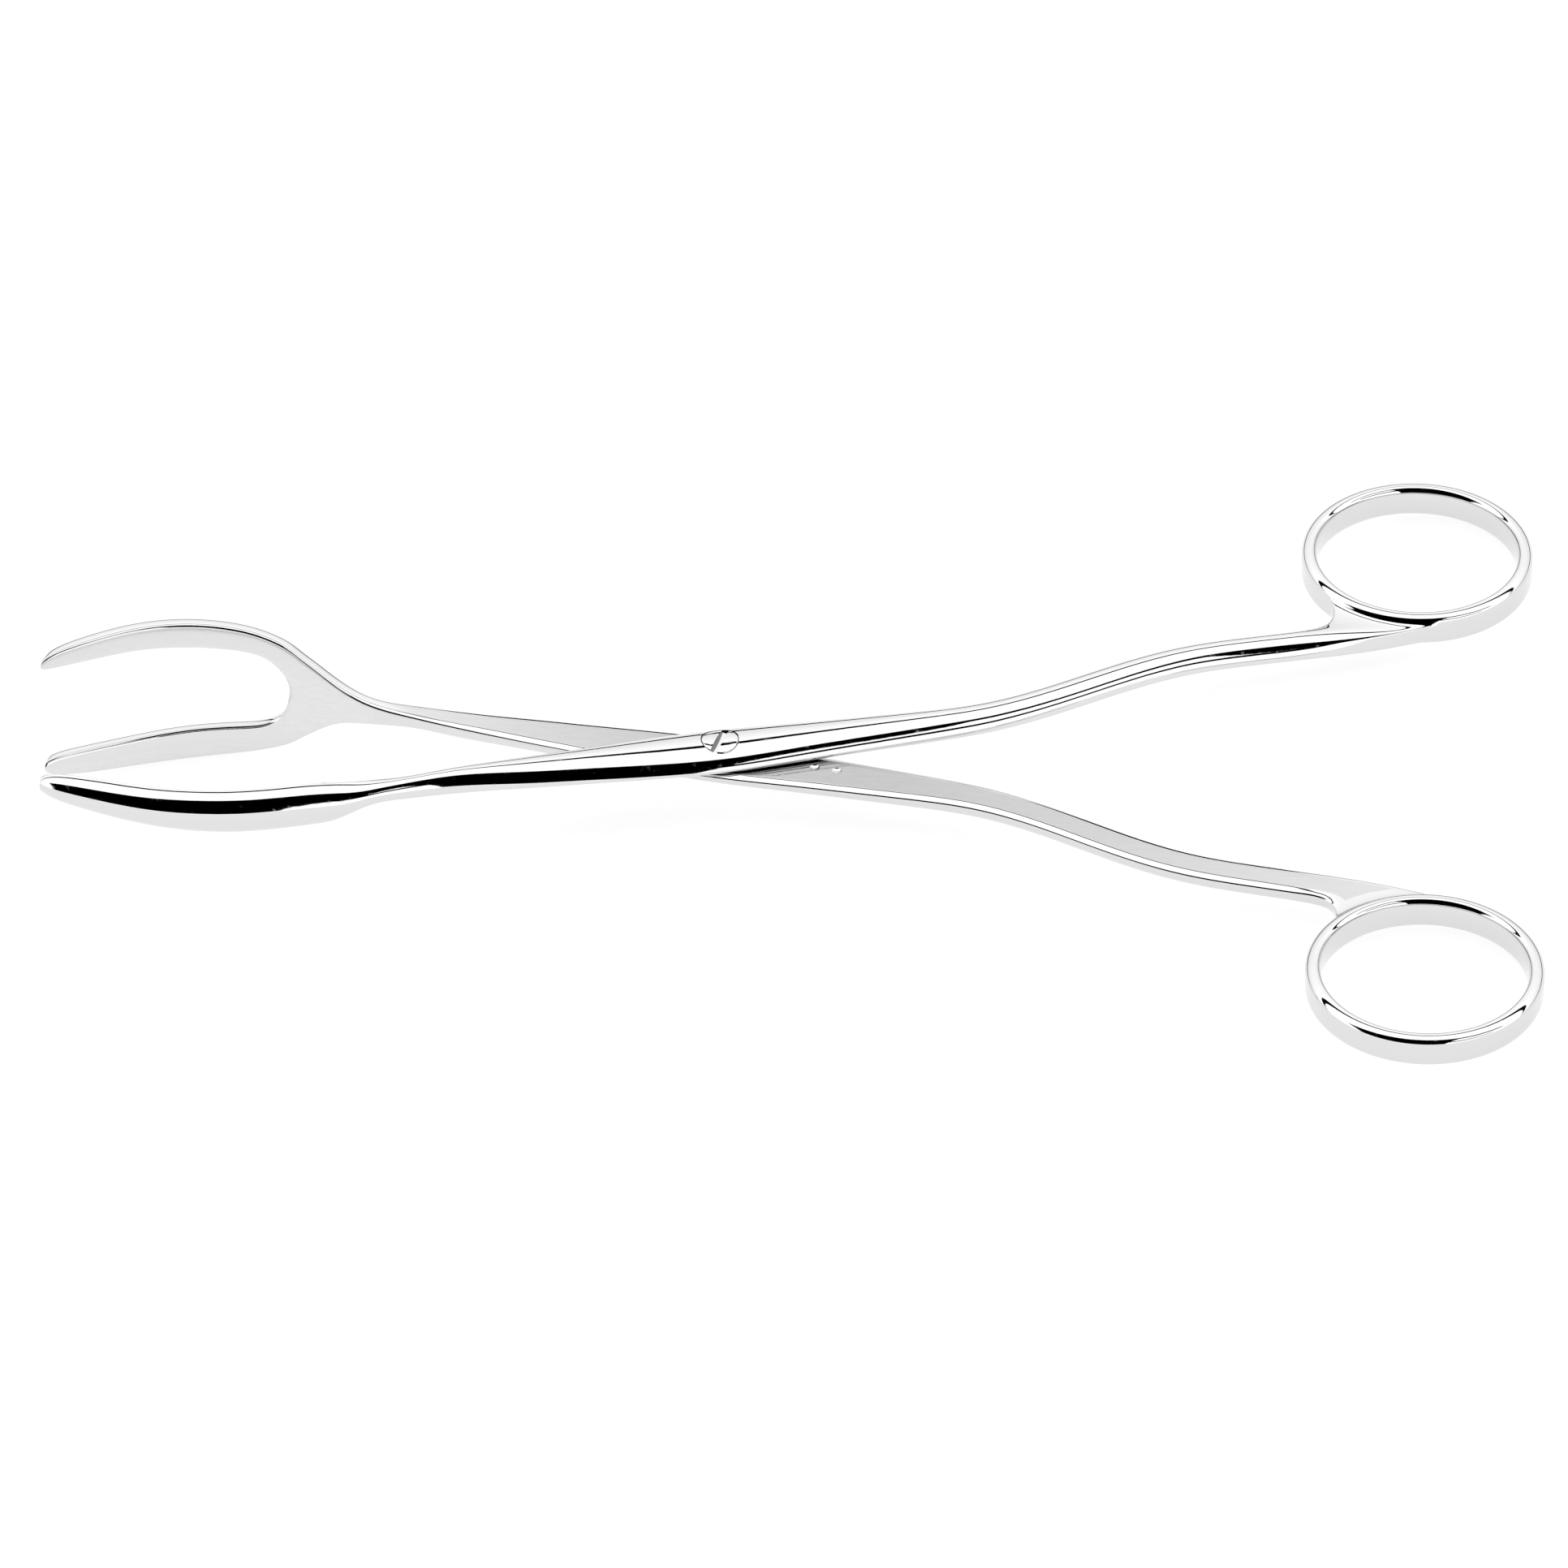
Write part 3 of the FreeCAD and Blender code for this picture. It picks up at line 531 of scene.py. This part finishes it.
def make_prong_half():
    half = make_handle("prong_arm_forging")
    for reach, share, width, lift, thick in PRONG_ROOT:
        place, turn = bowed(reach, PRONG_FACE, PRONG_TURN)
        half.extrude(mixed(waist_section(reach), prong_section(place, turn, width, thick, lift), share))
    for reach, width, thick in PRONG_STATIONS:
        place, turn = bowed(run_to(reach, PRONG_TURN), PRONG_FACE, PRONG_TURN)
        half.extrude(prong_section(place, turn, width, thick))
    bpy.ops.mesh.fill_grid(span=SIDE_STEPS)
    for line in GRIP_EDGES:
        half.crease(line, PRONG_REACH, 0.6)
    half.grind(lambda place, across, level: across == SIDE_STEPS and place.x < PRONG_GRIP_END)
    return finish_half(half)


def outer_edge(reach):
    """Half width of the fork over its tines: straight flare, shoulder's arc, crown's flatter arc."""
    crown_end = CROWN_REACH - CROWN_RADIUS * sin(CROWN_TURN)
    crown_side = CROWN_HALF - CROWN_RADIUS * (1 - cos(CROWN_TURN))
    flare_end = crown_end - SHOULDER_RADIUS * (sin(FLARE_TURN) - sin(CROWN_TURN))
    flare_side = crown_side - SHOULDER_RADIUS * (cos(CROWN_TURN) - cos(FLARE_TURN))
    if reach < flare_end:
        return flare_side - (flare_end - reach) * tan(FLARE_TURN)
    if reach < crown_end:
        turn = asin((crown_end - reach) / SHOULDER_RADIUS + sin(CROWN_TURN))
        return crown_side - SHOULDER_RADIUS * (cos(CROWN_TURN) - cos(turn))
    return CROWN_HALF - CROWN_RADIUS + sqrt(CROWN_RADIUS ** 2 - (reach - CROWN_REACH) ** 2)


def inner_edge(reach):
    """Half width of the gap between the tines: a round bottom, then sides that open slightly."""
    run = GAP_END - GAP_BASE - GAP_RADIUS
    lean = acos(GAP_RADIUS / sqrt(GAP_HALF ** 2 + run ** 2)) - atan(run / GAP_HALF)
    root = GAP_BASE + GAP_RADIUS * (1 - sin(lean))
    side = GAP_RADIUS * cos(lean)
    if reach <= GAP_BASE:
        return 0.0
    if reach < root:
        return sqrt(GAP_RADIUS ** 2 - (GAP_BASE + GAP_RADIUS - reach) ** 2)
    return min(side + (GAP_HALF - side) * (reach - root) / (GAP_END - root), GAP_HALF)


def gap_bottom(side):
    """Distance from the joint to the gap's round bottom, at a distance from its middle."""
    return GAP_BASE + GAP_RADIUS - sqrt(GAP_RADIUS ** 2 - side ** 2)


def on_fork(reach, depth, side):
    start, end = TINE_UPRIGHT
    reach -= depth * sin(radians(FORK_TURN)) * min(max((reach - start) / (end - start), 0), 1)
    place, turn = bowed(run_to(reach, FORK_TURN), FORK_FACE, FORK_TURN)
    return place[0] - depth * sin(radians(turn)), place[1] - depth * cos(radians(turn)), side


def flared(reach, start, softness):
    """How far an edge of the neck has spread: nothing before its start, then along the flare's slope."""
    run = reach - start
    return tan(FLARE_TURN) * (run + sqrt(run ** 2 + softness ** 2)) / 2


def neck_section(reach):
    """Section of the fork before it divides: a flat strip, wider with every step."""
    if reach > NECK_END:
        low, high = -outer_edge(reach), outer_edge(reach)
    else:
        low = -flared(reach, *LOW_FLARE)
        high = WAIST_THICKNESS + flared(reach, *HIGH_FLARE)

    def where(across, level):
        depth, inward = EDGE_PROFILE[across]
        share = level / SIDE_STEPS
        side = low + inward + (high - low - 2 * inward) * share
        return on_fork(reach, depth, side)
    return where


def divide_section(across, level):
    """The fork's last whole section. Its middle is the bottom of the gap, and both tines start beside it."""
    depth, inward = EDGE_PROFILE[across]
    side, reach = DIVIDE[level]
    if level in (0, SIDE_STEPS):
        return on_fork(reach, depth, side + inward * (1 if level == 0 else -1))
    if reach is None:
        return on_fork(gap_bottom(side) - inward, depth, side)
    return on_fork(reach, depth, side)


def tine_section(sign, outer_reach, inner_reach, narrow):
    """Section of a tine, from its outer edge to the gap. The three levels are outside, middle and inside."""
    outer = outer_edge(outer_reach) - narrow
    inner = inner_edge(inner_reach) + narrow * 0.7

    def where(across, level):
        depth, inward = EDGE_PROFILE[across]
        share = (level if sign < 0 else SIDE_STEPS - level) / 2
        side = outer - inward + (inner - outer + 2 * inward) * share
        return on_fork(outer_reach + (inner_reach - outer_reach) * share, depth, sign * side)
    return where


def make_fork_half():
    half = make_handle("fork_arm_forging")
    for reach, share in FORK_ROOT:
        half.extrude(mixed(waist_section(reach), neck_section(reach), share))
    for reach in NECK_STATIONS:
        half.extrude(neck_section(reach))
    half.extrude(divide_section)
    half.close_end(divide_section)
    for sign in (-1, 1):
        half.select_part(sign)
        for outer_reach, inner_reach, narrow in TINE_STATIONS:
            half.extrude(tine_section(sign, outer_reach, inner_reach, narrow))
    half.grind(lambda place, across, level: across == SIDE_STEPS and place.x < FORK_GRIP_END)
    return finish_half(half)


def on_flat(place, across, level):
    """The ground mating face between its soft edges, from the waist to the web, short of the ring."""
    outside_ring = (place - RING_CENTRE).xy.length > RING_OUTER + 1
    between_edges = level == 0 < across < SIDE_STEPS
    return between_edges and place.x > FLAT_END and place.z < FLAT_TOP and outside_ring


def finish_half(half):
    """Sharpens the arm's edges, gives its mating face the satin steel and rounds the whole half."""
    half.crease(NEAR_EDGE, ARM_REACH, 0.4)
    for line in GROUND_EDGES:
        half.crease(line, ARM_REACH, 0.5)
    half.grind(on_flat)
    bpy.ops.mesh.select_all(action="SELECT")
    bpy.ops.mesh.normals_make_consistent(inside=False)
    bpy.ops.object.mode_set(mode="OBJECT")
    piece = half.piece
    smooth = piece.modifiers.new("smooth", "SUBSURF")
    smooth.levels = smooth.render_levels = 2
    bpy.ops.object.modifier_apply(modifier=smooth.name)
    return piece


def rod(radius, low, high):
    """Round cutter on the joint's axis, between two heights over the mating face."""
    bpy.ops.mesh.primitive_cylinder_add(vertices=64, radius=radius * MM, depth=(high - low) * MM,
                                        location=(0, 0, (low + high) / 2 * MM))
    return bpy.context.object


def cut_away(piece, cutter):
    hole = piece.modifiers.new("hole", "BOOLEAN")
    hole.operation = "DIFFERENCE"
    hole.object = cutter
    bpy.context.view_layer.objects.active = piece
    bpy.ops.object.modifier_apply(modifier=hole.name)
    bpy.data.objects.remove(cutter)


def put_in_place(piece, where, body, node):
    """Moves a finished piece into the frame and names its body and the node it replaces."""
    bpy.ops.object.select_all(action="DESELECT")
    piece.select_set(True)
    bpy.context.view_layer.objects.active = piece
    bpy.ops.object.shade_smooth_by_angle(angle=radians(40))
    piece.data.transform(where)
    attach(piece, body)
    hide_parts(node)


def back_height(arm, flat):
    """Height of an arm's back over a place on its mating face."""
    return arm.ray_cast((flat.x, flat.y, 2 * ABOVE * MM), (0, 0, -1))[1].z


def extrude_ring(screw, radius, height_at):
    """Next ring of the screw's outline. The function gives the height of each of its places."""
    bpy.ops.mesh.extrude_region_move()
    mesh = bmesh.from_edit_mesh(screw.data)
    for vertex in mesh.verts:
        if vertex.select:
            flat = vertex.co.xy.normalized() * radius * MM
            vertex.co = (flat.x, flat.y, height_at(flat))
    bmesh.update_edit_mesh(screw.data)


def make_screw(arm):
    """Joint screw, drawn in the upper half's own place. Its head was ground together with that arm's back."""
    bpy.ops.object.select_all(action="DESELECT")
    bpy.ops.mesh.primitive_circle_add(vertices=64, radius=THREAD_RADIUS * MM, fill_type="NGON")
    screw = bpy.context.object
    screw.name = "joint_screw"
    screw.data.materials.append(mirror_steel)
    screw.data.materials.append(painted_slot_shade)
    bpy.ops.object.mode_set(mode="EDIT")
    mesh = bmesh.from_edit_mesh(screw.data)
    for vertex in mesh.verts:
        vertex.co.z = SCREW_END * MM
    bmesh.update_edit_mesh(screw.data)
    stem = ((THREAD_RADIUS, -HALF_GAP), (STEM_RADIUS, -HALF_GAP), (STEM_RADIUS, SEAT_LEVEL + SEAT_PLAY),
            (HEAD_RADIUS, SEAT_LEVEL + SEAT_PLAY))
    for radius, level in stem:
        extrude_ring(screw, radius, lambda flat: level * MM)
    for radius, drop in HEAD_RINGS:
        extrude_ring(screw, radius, lambda flat: back_height(arm, flat) - drop * MM)
    bpy.ops.mesh.select_all(action="SELECT")
    bpy.ops.mesh.normals_make_consistent(inside=False)
    bpy.ops.object.mode_set(mode="OBJECT")
    cut_slot(screw)
    return screw


def cut_slot(screw):
    """Milled slot across the head. Its two walls get the dull, nearly black steel: painted shade in the slot.
    """
    bpy.ops.mesh.primitive_cube_add(size=1, location=(0, 0, (SLOT_FLOOR + SLOT_HEIGHT / 2) * MM),
                                    rotation=(0, 0, radians(SLOT_TURN)),
                                    scale=(SLOT_LENGTH * MM, SLOT_WIDTH * MM, SLOT_HEIGHT * MM))
    cutter = bpy.context.object
    cutter.data.materials.append(mirror_steel)
    cutter.data.materials.append(painted_slot_shade)
    for face in cutter.data.polygons:
        # The slot's two walls take the painted shade.
        face.material_index = 1 if abs(face.normal.y) > 0.9 else 0
    cut_away(screw, cutter)


prong_half = make_prong_half()
screw = make_screw(prong_half)
cut_away(prong_half, rod(SEAT_RADIUS, SEAT_LEVEL, ABOVE))
cut_away(prong_half, rod(STEM_RADIUS + STEM_PLAY, BELOW, ABOVE))
fork_half = make_fork_half()
cut_away(fork_half, rod(THREAD_RADIUS, BELOW, ABOVE))
for reach in MARK_REACHES:
    bpy.ops.mesh.primitive_uv_sphere_add(segments=32, ring_count=24, radius=MARK_RADIUS * MM,
                                         location=(reach * MM, MARK_SIDE * MM, MARK_LEVEL * MM))
    cut_away(fork_half, bpy.context.object)
put_in_place(prong_half, UPPER_HALF, "prong_half", "prong_arm")
put_in_place(fork_half, LOWER_HALF, "fork_half", "fork_arm")
put_in_place(screw, UPPER_HALF, "fork_half", "pivot_screw")


def add_camera():
    """The photograph's view: from far off, well above the mating plane, the joint left of the middle."""
    height, side = radians(38), radians(1.377)
    distance, pixels_per_mm = 1800, 9.27
    frame_size, joint_pixel = 1932, (887, 932)
    back = Vector((sin(side) * cos(height), -cos(side) * cos(height), sin(height)))
    right = Vector((cos(side), sin(side), 0))
    up = back.cross(right)
    focal = pixels_per_mm * distance
    centre = frame_size / 2
    ray = right * ((joint_pixel[0] - centre) / focal) + up * ((centre - joint_pixel[1]) / focal) - back
    turn = Matrix((right, up, back)).transposed().to_4x4()
    data = bpy.data.cameras.new("camera")
    camera = bpy.data.objects.new("camera", data)
    bpy.context.scene.collection.objects.link(camera)
    camera.matrix_world = MATING_PLANE @ Matrix.Translation(-ray * distance * MM) @ turn
    data.lens = focal / frame_size * data.sensor_width
    data.clip_end = 10
    bpy.context.scene.camera = camera


def add_floor():
    """White ground. It glows by itself, so that it stays white under the instrument, as in the photograph."""
    bpy.ops.object.select_all(action="DESELECT")
    bpy.ops.mesh.primitive_plane_add(size=3)
    floor = bpy.context.object
    floor.name = "floor"
    material = bpy.data.materials.new("white_paper")
    material.use_nodes = True
    shader = material.node_tree.nodes["Principled BSDF"]
    shader.inputs["Base Color"].default_value = (0.25, 0.25, 0.25, 1)
    shader.inputs["Specular IOR Level"].default_value = 0
    shader.inputs["Emission Color"].default_value = (1, 1, 1, 1)
    shader.inputs["Emission Strength"].default_value = 0.84
    floor.data.materials.append(material)


def add_light():
    """White light tent. Its opening in front is dark, wide towards the jaw and narrow towards the handles,
    and so are its seams. Angles go from the back horizon over the top to the front, leans towards +X."""
    world = bpy.data.worlds.new("light_tent")
    world.use_nodes = True
    bpy.context.scene.world = world
    tree = world.node_tree
    x, y, z = coordinates(tree, "Generated")
    angle = z.math("ARCTAN2", y).degrees()
    lean = x.math("ARCSINE").degrees()
    lower_end = lean.between(17, 26) * -54 + 178
    opening = angle.between(111, 112.5) * (lower_end - angle).between(-1, 1) * lean.within(-57, 63, 4)
    top_seam = angle.within(54, 62.5, 1.2)
    front_seam = angle.within(146.5, 157, 2) * lean.within(17, 60, 3)
    table_edge = angle.within(0.5, 9, 1.5)
    dark = opening.either(top_seam).either(front_seam).either(table_edge)
    back_wall = angle.between(20, 58) * 0.26 + 0.74
    (back_wall * (dark * -1.0 + 1.0)).into(tree.nodes["Background"].inputs["Color"])
    tree.nodes["Background"].inputs["Strength"].default_value = 1.5
    bpy.context.scene.view_settings.view_transform = "Standard"


add_camera()
add_floor()
add_light()
